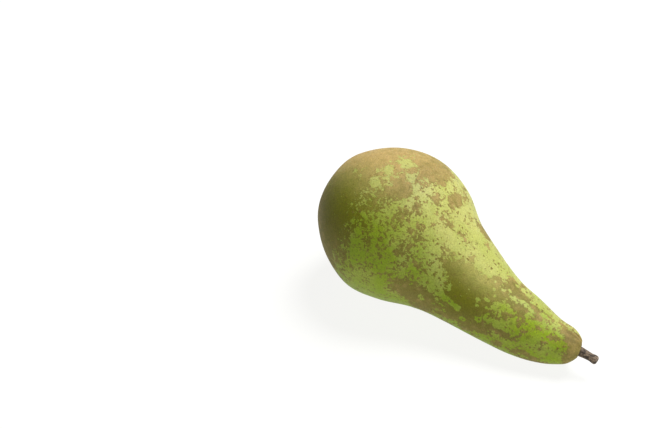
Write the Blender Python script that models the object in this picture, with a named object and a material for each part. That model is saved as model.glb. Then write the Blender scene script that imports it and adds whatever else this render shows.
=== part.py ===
"""A Conference-type pear lying on its side: the fruit, its stem and its dried calyx.

Metres, +Z up, +X towards the stem. The origin is on the surface that the pear rests on,
in the middle of the small flat spot under its widest part.

The fruit is a turned profile laid along a bent axis. Two measures place any point of it:
its distance from the blossom end, and its angle round the axis, which is 0 on top and
grows towards -Y.
"""

import math

import bmesh
import bpy
from mathutils import Matrix, Vector

MM = 0.001

# The fruit, in mm: (distance from the blossom end, radius), from pole to pole.
FRUIT_PROFILE = (
    (2.8, 0.0),  # floor of the blossom basin
    (1.7, 3.2),
    (0.5, 6.2),
    (0.0, 9.8),  # rim of the basin
    (2.4, 16.3),
    (7.6, 21.8),
    (17.0, 27.8),
    (30.0, 31.3),  # widest
    (43.5, 28.8),
    (56.7, 21.6),  # shoulder, where the bulb runs into the neck
    (70.0, 17.2),
    (83.0, 14.1),
    (92.5, 12.7),
    (100.0, 11.2),
    (106.3, 9.4),
    (110.5, 7.8),
    (114.0, 6.3),
    (116.0, 4.8),
    (116.5, 3.7),  # rim of the stem hollow
    (116.0, 2.5),
    (115.4, 0.0),
)
ORIGIN_FROM_END = 30.0  # the distance from the blossom end at which X is 0
# The bent axis, in mm: (distance from the blossom end, Y, Z).
FRUIT_AXIS = (
    (0.0, 1.9, 34.8),
    (28.0, 0.1, 31.1),
    (57.0, -1.0, 23.1),
    (85.0, -0.9, 13.3),
    (104.0, 0.9, 9.7),
    (117.0, 2.8, 9.2),
)
# Swellings and hollows of the flesh, in mm and degrees:
# (distance, angle, height, reach along, reach round).
SWELLINGS = (
    (112.0, -62.0, 0.8, 3.6, 34.0),  # fleshy lobe beside the stem
    (113.0, 52.0, 0.4, 5.0, 50.0),  # the lobe across from it
    (116.0, -20.0, -1.0, 3.5, 11.0),  # crease between the two
    (103.0, -45.0, -0.6, 7.0, 35.0),  # slimmer behind the lobe
    (68.0, 48.0, -0.7, 9.0, 24.0),  # shallow hollow on the neck
    (62.0, -95.0, -0.6, 16.0, 40.0),
    (45.0, 135.0, -1.0, 11.0, 32.0),  # under the shoulder
    (32.0, 180.0, 0.3, 15.0, 40.0),  # the side it lay on
    (20.0, -60.0, 0.4, 14.0, 40.0),
    (3.0, 72.0, -0.9, 8.0, 26.0),  # uneven rim of the blossom end
    (9.0, 34.0, 0.5, 8.0, 26.0),
    (117.0, 118.0, -1.3, 2.6, 36.0),  # the rim falls away underneath
)
BASIN_RIBS = 5
BASIN_RIB_HEIGHT = 0.35
BASIN_RIB_REACH = 14.0
OVAL = 0.2  # how much wider the fruit is across its sides than through top and bottom
POLE_EASE = 3.0  # radius over which the swellings die away to nothing at a pole
SLANT = 0.35  # mm for each mm of radius by which the stem end runs on, on its long side
SLANT_TOWARDS = 45.0  # the direction of the long side
SLANT_FROM = 108.0  # the slant sets in here and is whole at SLANT_TO, in mm from the blossom end
SLANT_TO = 116.0
FRUIT_RINGS = 58
FRUIT_STEPS = 64

# The stem, in mm: (distance along it from its root, radius).
STEM_PROFILE = (
    (0.0, 0.0),
    (0.1, 1.1),
    (1.2, 1.6),
    (4.5, 2.0),  # widest, where it leaves the flesh
    (7.2, 1.84),
    (10.4, 1.56),
    (12.6, 1.68),  # thickened cut end
    (13.6, 1.54),
    (13.9, 1.0),
    (13.9, 0.0),
)
# Its course, in mm: (distance along it, X, Y, Z).
STEM_PATH = (
    (0.0, 81.2, 2.1, 9.5),
    (5.5, 86.7, 2.5, 9.65),
    (10.0, 91.2, 2.5, 9.5),
    (14.0, 95.1, 2.6, 8.95),
)
STEM_RINGS = 26
STEM_STEPS = 20
STEM_KNOBS = ((5.0, 20.0, 0.12), (9.0, 200.0, 0.16), (12.6, 310.0, 0.18), (12.8, 110.0, 0.12))
STEM_KNOB_REACH = 1.1

# The calyx, in mm. Its own axis is +X, pointing out of the fruit; X = 0 is its base.
CUP_PROFILE = (
    (0.0, 0.0),
    (0.0, 1.6),
    (0.6, 2.5),
    (2.4, 2.9),
    (4.0, 3.0),
    (4.5, 2.6),
    (4.3, 2.1),
    (3.2, 1.6),
    (2.9, 0.0),
)
CUP_RINGS = 18
CUP_STEPS = 25
CALYX_BASE_AT = 5.0  # its base's distance from the blossom end
SEPALS = 5
SEPAL_PROFILE = ((0.0, 0.0), (0.25, 0.85), (1.4, 1.3), (2.9, 1.1), (4.3, 0.5), (4.8, 0.0))
SEPAL_ROOT = (3.6, 1.9)  # (X, radius) of its root, sunk in the cup's wall
SEPAL_RISE = 24.0  # degrees that it leans out of the cup's plane
SEPAL_CURL = 0.055  # how fast its tip lifts
SEPAL_FLATNESS = 0.34
SEPAL_RINGS = 12
SEPAL_STEPS = 10

CLEARANCE = 0.35  # gap between a piece and the hollow it stands in
SOCKET_DEPTH = 9.0  # length of each hole's cutter, which ends outside the fruit
SOCKET_STEPS = 32


def smooth_curve(points, at):
    """Values at one parameter of the smooth curve through points, whose first numbers rise."""
    last = len(points) - 2
    i = min(last, max(0, sum(p[0] <= at for p in points) - 1))
    step = points[i + 1][0] - points[i][0]
    t = (at - points[i][0]) / step
    values = []
    for k in range(1, len(points[0])):
        start = slope(points, i, k) * step
        end = slope(points, i + 1, k) * step
        values.append(
            (2 * t**3 - 3 * t**2 + 1) * points[i][k]
            + (t**3 - 2 * t**2 + t) * start
            + (3 * t**2 - 2 * t**3) * points[i + 1][k]
            + (t**3 - t**2) * end
        )
    return values


def slope(points, i, k):
    """Slope of value k at point i: the mean of the slopes beside it, the nearer one weighing more."""
    slopes = []
    widths = []
    for a, b in ((i - 1, i), (i, i + 1)):
        if a >= 0 and b < len(points):
            widths.append(points[b][0] - points[a][0])
            slopes.append((points[b][k] - points[a][k]) / widths[-1])
    if len(slopes) == 1:
        return slopes[0]
    return (slopes[0] * widths[1] + slopes[1] * widths[0]) / (widths[0] + widths[1])


def resampled(profile, count):
    """A smooth profile through the given points, as count points evenly along it."""
    knots = [(0.0, *profile[0])]
    for p, q in zip(profile, profile[1:]):
        knots.append((knots[-1][0] + math.sqrt(math.dist(p, q)), *q))
    fine = [smooth_curve(knots, knots[-1][0] * i / 1500) for i in range(1501)]
    run = [0.0]
    for p, q in zip(fine, fine[1:]):
        run.append(run[-1] + math.dist(p, q))
    points = []
    j = 0
    for i in range(count):
        while run[j] < run[-1] * i / (count - 1) - 1e-9:
            j += 1
        points.append(fine[j])
    points[0] = list(profile[0])
    points[-1] = list(profile[-1])
    return points


def turned(profile, count, steps):
    """A closed surface turned about +X from a profile of (x, radius) that ends on the axis."""
    bm = bmesh.new()
    verts = [bm.verts.new((x, 0.0, max(r, 0.0))) for x, r in resampled(profile, count)]
    edges = [bm.edges.new(pair) for pair in zip(verts, verts[1:])]
    bmesh.ops.spin(
        bm,
        geom=verts + edges,
        cent=(0, 0, 0),
        axis=(1, 0, 0),
        angle=2 * math.pi,
        steps=steps,
        use_merge=True,
    )
    bmesh.ops.remove_doubles(bm, verts=bm.verts, dist=1e-4)
    return bm


def reshape(bm, place):
    """Moves each vertex of a turned surface to place(x, radius, angle)."""
    for vert in bm.verts:
        radius = math.hypot(vert.co.y, vert.co.z)
        angle = math.degrees(math.atan2(-vert.co.y, vert.co.z))
        vert.co = place(vert.co.x, radius, angle)


def finished(name, bm, material):
    """The object of a surface in mm, scaled to metres and shaded smooth."""
    bmesh.ops.recalc_face_normals(bm, faces=bm.faces)
    bmesh.ops.scale(bm, vec=(MM, MM, MM), verts=bm.verts)
    mesh = bpy.data.meshes.new(name)
    bm.to_mesh(mesh)
    bm.free()
    mesh.shade_smooth()
    mesh.set_sharp_from_angle(angle=math.radians(50))
    obj = bpy.data.objects.new(name, mesh)
    bpy.context.scene.collection.objects.link(obj)
    if material:
        mesh.materials.append(material)
    return obj


def plain_material(name, colour, roughness):
    material = bpy.data.materials.new(name)
    material.use_nodes = True
    shader = material.node_tree.nodes["Principled BSDF"]
    shader.inputs["Base Color"].default_value = (*colour, 1)
    shader.inputs["Roughness"].default_value = roughness
    shader.inputs["Metallic"].default_value = 0
    material.diffuse_color = (*colour, 1)
    return material


def axis_frame(distance):
    """Centre of the fruit's axis there, with its forward, up and side directions."""
    y, z = smooth_curve(FRUIT_AXIS, distance)
    before = Vector((-0.1, *smooth_curve(FRUIT_AXIS, distance - 0.1)))
    after = Vector((0.1, *smooth_curve(FRUIT_AXIS, distance + 0.1)))
    forward = (after - before).normalized()
    up = (Vector((0, 0, 1)) - forward * forward.z).normalized()
    return Vector((distance - ORIGIN_FROM_END, y, z)), forward, up, forward.cross(up)


def bump(offset, reach):
    return math.exp(-((offset / reach) ** 2))


def swelling(distance, angle):
    """Height of the flesh over the plain turned shape, in mm."""
    height = BASIN_RIB_HEIGHT * math.cos(math.radians(BASIN_RIBS * angle)) * bump(distance, BASIN_RIB_REACH)
    height -= OVAL * math.cos(math.radians(2 * angle))
    for at, towards, rise, along, around in SWELLINGS:
        turn = (angle - towards + 180) % 360 - 180
        height += rise * bump(distance - at, along) * bump(turn, around)
    return height


def fruit_point(distance, radius, angle):
    centre, forward, up, side = axis_frame(distance)
    turn = math.radians(angle)
    radius += swelling(distance, angle) * math.tanh(radius / POLE_EASE)
    share = min(1.0, max(0.0, (distance - SLANT_FROM) / (SLANT_TO - SLANT_FROM)))
    slant = SLANT * radius * math.cos(turn - math.radians(SLANT_TOWARDS)) * (3 * share**2 - 2 * share**3)
    return centre + radius * (math.cos(turn) * up + math.sin(turn) * side) + slant * forward


def flatten_underside(bm):
    """Cuts the shape off level at Z = 0 and closes it, which leaves the spots it rests on."""
    bmesh.ops.bisect_plane(
        bm,
        geom=bm.verts[:] + bm.edges[:] + bm.faces[:],
        dist=1e-5,
        plane_co=(0, 0, 0),
        plane_no=(0, 0, -1),
        clear_outer=True,
    )
    rims = [edge for edge in bm.edges if edge.is_boundary]
    bmesh.ops.holes_fill(bm, edges=rims, sides=0)


def make_fruit(material):
    bm = turned(FRUIT_PROFILE, FRUIT_RINGS, FRUIT_STEPS)
    reshape(bm, fruit_point)
    flatten_underside(bm)
    return finished("fruit", bm, material)


def stem_point(distance, radius, angle):
    centre = Vector(smooth_curve(STEM_PATH, distance))
    forward = Vector(smooth_curve(STEM_PATH, distance + 0.1)) - Vector(smooth_curve(STEM_PATH, distance - 0.1))
    forward.normalize()
    up = (Vector((0, 0, 1)) - forward * forward.z).normalized()
    side = forward.cross(up)
    for at, towards, height in STEM_KNOBS:
        turn = (angle - towards + 180) % 360 - 180
        radius += height * bump(distance - at, STEM_KNOB_REACH) * bump(turn, 45) * math.tanh(radius)
    turn = math.radians(angle)
    return centre + radius * (math.cos(turn) * up + math.sin(turn) * side)


def make_stem(material):
    bm = turned(STEM_PROFILE, STEM_RINGS, STEM_STEPS)
    reshape(bm, stem_point)
    return finished("stem", bm, material)


def make_sepal(index):
    """One sepal: a turned spindle pressed flat, lifted at its tip and leaned out of the cup."""
    bm = turned(SEPAL_PROFILE, SEPAL_RINGS, SEPAL_STEPS)
    for vert in bm.verts:
        vert.co.z = vert.co.z * SEPAL_FLATNESS + SEPAL_CURL * vert.co.x**2
    # Its length turns from X to the cup's radial direction, and its top faces out of the fruit.
    lean = Matrix.Rotation(-math.radians(SEPAL_RISE), 4, "Y")
    upright = Matrix(((0, 0, 1, 0), (0, 1, 0, 0), (1, 0, 0, 0), (0, 0, 0, 1)))
    root = Matrix.Translation((SEPAL_ROOT[0], 0, SEPAL_ROOT[1]))
    around = Matrix.Rotation(math.radians(360 / SEPALS * index + 18), 4, "X")
    bm.transform(around @ root @ upright @ lean)
    return finished(f"sepal_{index}", bm, None)


def make_calyx(material):
    """The cup with its sepals grown onto it, stood in the blossom basin."""
    cup = finished("calyx", turned(CUP_PROFILE, CUP_RINGS, CUP_STEPS), material)
    sepals = bpy.data.collections.new("sepals")
    bpy.context.scene.collection.children.link(sepals)
    for index in range(SEPALS):
        sepal = make_sepal(index)
        bpy.context.scene.collection.objects.unlink(sepal)
        sepals.objects.link(sepal)
    union = cup.modifiers.new("sepals", "BOOLEAN")
    union.operation = "UNION"
    union.operand_type = "COLLECTION"
    union.collection = sepals
    union.solver = "EXACT"
    apply_modifiers(cup)
    for sepal in list(sepals.objects):
        bpy.data.objects.remove(sepal)
    bpy.data.collections.remove(sepals)
    cup.matrix_world = outward_frame()
    return cup


def outward_frame():
    """The calyx's place: +X out of the blossom end, its base where CALYX_BASE_AT says."""
    centre, forward, up, _ = axis_frame(CALYX_BASE_AT)
    side = (-forward).cross(up)
    turn = Matrix((-forward, -side, up)).transposed().to_4x4()
    return Matrix.Translation(centre * MM) @ turn


def apply_modifiers(obj):
    graph = bpy.context.evaluated_depsgraph_get()
    mesh = bpy.data.meshes.new_from_object(obj.evaluated_get(graph))
    obj.modifiers.clear()
    old = obj.data
    obj.data = mesh
    bpy.data.meshes.remove(old)
    mesh.name = obj.name
    mesh.shade_smooth()
    mesh.set_sharp_from_angle(angle=math.radians(50))


def cut_socket(body, name, start, direction, radius, depth):
    """A plain round hole in body, from start inwards against direction."""
    bm = bmesh.new()
    bmesh.ops.create_cone(
        bm,
        cap_ends=True,
        segments=SOCKET_STEPS,
        radius1=radius * MM,
        radius2=radius * MM,
        depth=depth * MM,
    )
    mesh = bpy.data.meshes.new(name)
    bm.to_mesh(mesh)
    bm.free()
    cutter = bpy.data.objects.new(name, mesh)
    bpy.context.scene.collection.objects.link(cutter)
    turn = Vector((0, 0, 1)).rotation_difference(direction).to_matrix().to_4x4()
    cutter.matrix_world = Matrix.Translation((start + direction * depth / 2) * MM) @ turn
    cutter.display_type = "WIRE"
    cutter.hide_render = True
    cut = body.modifiers.new(name, "BOOLEAN")
    cut.operation = "DIFFERENCE"
    cut.object = cutter
    cut.solver = "EXACT"


def main():
    for obj in list(bpy.data.objects):
        bpy.data.objects.remove(obj)
    skin = plain_material("pear_skin", (0.36, 0.42, 0.08), 0.5)
    bark = plain_material("stem_bark", (0.14, 0.10, 0.06), 0.85)
    dried = plain_material("dried_calyx", (0.06, 0.045, 0.035), 0.9)

    fruit = make_fruit(skin)
    make_stem(bark)
    make_calyx(dried)

    root = Vector(STEM_PATH[0][1:])
    leaving = Vector(STEM_PATH[1][1:])
    along = (leaving - root).normalized()
    hole = max(radius for _, radius in STEM_PROFILE) + CLEARANCE
    cut_socket(fruit, "stem_socket", root - along * CLEARANCE, along, hole, SOCKET_DEPTH)

    centre, forward, _, _ = axis_frame(CALYX_BASE_AT)
    outward = -forward
    hole = max(radius for _, radius in CUP_PROFILE) + CLEARANCE
    cut_socket(fruit, "calyx_socket", centre - outward * CLEARANCE, outward, hole, SOCKET_DEPTH)


main()
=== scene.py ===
import bpy
import numpy as np
from mathutils import Matrix, Vector


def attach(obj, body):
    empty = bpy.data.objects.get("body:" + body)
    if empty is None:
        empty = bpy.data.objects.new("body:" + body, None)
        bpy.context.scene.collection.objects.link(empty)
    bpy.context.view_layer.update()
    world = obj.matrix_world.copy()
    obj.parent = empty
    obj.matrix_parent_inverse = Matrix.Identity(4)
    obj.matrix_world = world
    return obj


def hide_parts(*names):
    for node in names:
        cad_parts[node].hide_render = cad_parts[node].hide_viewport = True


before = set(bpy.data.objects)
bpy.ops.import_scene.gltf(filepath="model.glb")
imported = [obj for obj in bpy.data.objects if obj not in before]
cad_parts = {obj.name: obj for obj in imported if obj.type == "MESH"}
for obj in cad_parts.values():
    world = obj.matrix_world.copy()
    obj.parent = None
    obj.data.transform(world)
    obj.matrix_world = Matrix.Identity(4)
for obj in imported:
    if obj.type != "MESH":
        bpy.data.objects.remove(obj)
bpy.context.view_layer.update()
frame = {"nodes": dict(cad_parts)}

mm = 0.001
everywhere = np.inf  # the reach of a bell that doesn't fade
print("frame loaded:", ", ".join(frame["nodes"]))


# sRGB hex to the linear colour that a shader takes
def toLinear(hexColour):
    channels = [int(hexColour[i:i + 2], 16) / 255 for i in (1, 3, 5)]
    return (*[c / 12.92 if c <= 0.04045 else ((c + 0.055) / 1.055) ** 2.4 for c in channels], 1.0)


# a node with its settings; an input, by name or number, is a value or another node's output;
# it gives back the output asked for, or the node itself for None
def addNode(tree, kind, inputs, out=0, **settings):
    node = tree.nodes.new(kind)
    for name, value in settings.items():
        setattr(node, name, value)
    for name, value in inputs.items():
        if isinstance(value, bpy.types.NodeSocket):
            tree.links.new(value, node.inputs[name])
        else:
            node.inputs[name].default_value = value
    return node if out is None else node.outputs[out]


def startMaterial(name):
    material = bpy.data.materials.new(name)
    material.use_nodes = True
    material.node_tree.nodes.clear()
    return material, material.node_tree


# vectors made 1 long
def unit(vectors):
    return vectors / np.linalg.norm(vectors, axis=-1, keepdims=True)


# a bell, e to the minus square: 1 at the middle, 0.37 at the reach
def bump(offset, reach):
    return np.exp(-(offset / reach) ** 2)


# 0 well below zero, 1 well above, as 1 / (1 + e to the minus x)
def rise(offset):
    return 1 / (1 + np.exp(-np.clip(offset, -40, 40)))


# signed degrees from one direction round the axis to another
def turnFrom(angle, towards):
    return (angle - towards + 180) % 360 - 180


# the sum of the spots, each its height * a bell along the fruit * a bell round it
def bells(distance, angle, spots):
    total = 0
    for at, towards, height, along, around in spots:
        total = total + height * bump(distance - at, along) * bump(turnFrom(angle, towards), around)
    return total


# the sum of waves round the axis, each its height * cosine of (count * turn + phase)
def waves(turn, each):
    return sum(height * np.cos(count * turn + phase) for height, count, phase in each)


# a cubic through the points, where each slope is the weighted mean of the two beside it
def smoothCurve(points, at):
    points = np.asarray(points, float)
    knots, values = points[:, 0], points[:, 1:]
    step = np.diff(knots)
    slope = np.diff(values, axis=0) / step[:, None]
    inner = (slope[:-1] * step[1:, None] + slope[1:] * step[:-1, None]) / (step[1:] + step[:-1])[:, None]
    slopes = np.vstack([slope[:1], inner, slope[-1:]])
    i = np.clip(np.searchsorted(knots, at, side="right") - 1, 0, len(step) - 1)
    t = ((at - knots[i]) / step[i])[..., None]
    width = step[i][..., None]
    return ((2 * t**3 - 3 * t**2 + 1) * values[i] + (t**3 - 2 * t**2 + t) * width * slopes[i]
            + (3 * t**2 - 2 * t**3) * values[i + 1] + (t**3 - t**2) * width * slopes[i + 1])


# points along a smooth profile at equal steps of its length, or closer where crowding is above 1; its knots
# are spaced by the root of the distance, which keeps the tight bends round
def resampled(profile, count, crowding=None):
    fineCount = 6001
    profile = np.asarray(profile, float)
    knots = np.append(0, np.cumsum(np.sqrt(np.linalg.norm(np.diff(profile, axis=0), axis=1))))
    fine = smoothCurve(np.column_stack([knots, profile]), np.linspace(0, knots[-1], fineCount))
    hops = np.linalg.norm(np.diff(fine, axis=0), axis=1)
    run = np.append(0, np.cumsum(hops))
    weight = crowding(run, run[-1]) if crowding else np.ones_like(run)
    measure = np.append(0, np.cumsum(hops * (weight[1:] + weight[:-1]) / 2))
    at = np.interp(np.linspace(0, measure[-1], count), measure, run)
    return np.interp(at, run, fine[:, 0]), np.interp(at, run, fine[:, 1]), at


# rings round a path: centre + height * up + width * side, with side = forward x up
def ringsAlong(centres, upward, height, width):
    forward = unit(np.gradient(centres, axis=0))
    up = unit(upward - forward * (forward * upward).sum(-1, keepdims=True))
    side = np.cross(forward, up)
    return centres[:, None] + height[..., None] * up[:, None] + width[..., None] * side[:, None]


# one closed mesh of tubes, each an array (ring, step, xyz) in mm whose first and last rings are single
# points: four-sided faces join the rings, and triangles close both ends
def makePiece(name, tubes, material, replaced):
    points, loops, sizes, first = [], [], [], 0
    for rings in tubes:
        steps = rings.shape[1]
        inner = rings[1:-1].reshape(-1, 3)
        points += [rings[:1, 0], inner, rings[-1:, 0]]
        grid = first + 1 + np.arange(len(inner)).reshape(-1, steps)
        beside = np.roll(grid, -1, axis=1)
        last = first + 1 + len(inner)
        quads = np.stack([grid[:-1], beside[:-1], beside[1:], grid[1:]], -1)
        start = np.stack([np.full(steps, first), beside[0], grid[0]], -1)
        end = np.stack([np.full(steps, last), grid[-1], beside[-1]], -1)
        loops += [quads.ravel(), start.ravel(), end.ravel()]
        sizes += [np.full(quads.size // 4, 4), np.full(2 * steps, 3)]
        first = last + 1
    points, loops, sizes = np.concatenate(points), np.concatenate(loops), np.concatenate(sizes)
    mesh = bpy.data.meshes.new(name)
    mesh.vertices.add(len(points))
    mesh.vertices.foreach_set("co", (points * mm).astype(np.float32).ravel())
    mesh.loops.add(len(loops))
    mesh.loops.foreach_set("vertex_index", loops.astype(np.int32))
    mesh.polygons.add(len(sizes))
    mesh.polygons.foreach_set("loop_start", (np.cumsum(sizes) - sizes).astype(np.int32))
    mesh.update(calc_edges=True)
    mesh.shade_smooth()
    mesh.materials.append(material)
    piece = bpy.data.objects.new(name, mesh)
    bpy.context.scene.collection.objects.link(piece)
    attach(piece, "root")
    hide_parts(replaced)
    print(name, "made:", len(sizes), "faces")
    return piece


# one number per point, for the material; grids are (ring, step), one for each tube
def addMeasure(piece, name, *grids):
    values = np.concatenate([part for grid in grids
                             for part in (grid[:1, 0], grid[1:-1].ravel(), grid[-1:, 0])])
    attribute = piece.data.attributes.new(name, "FLOAT", "POINT")
    attribute.data.foreach_set("value", values.astype(np.float32))


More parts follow.
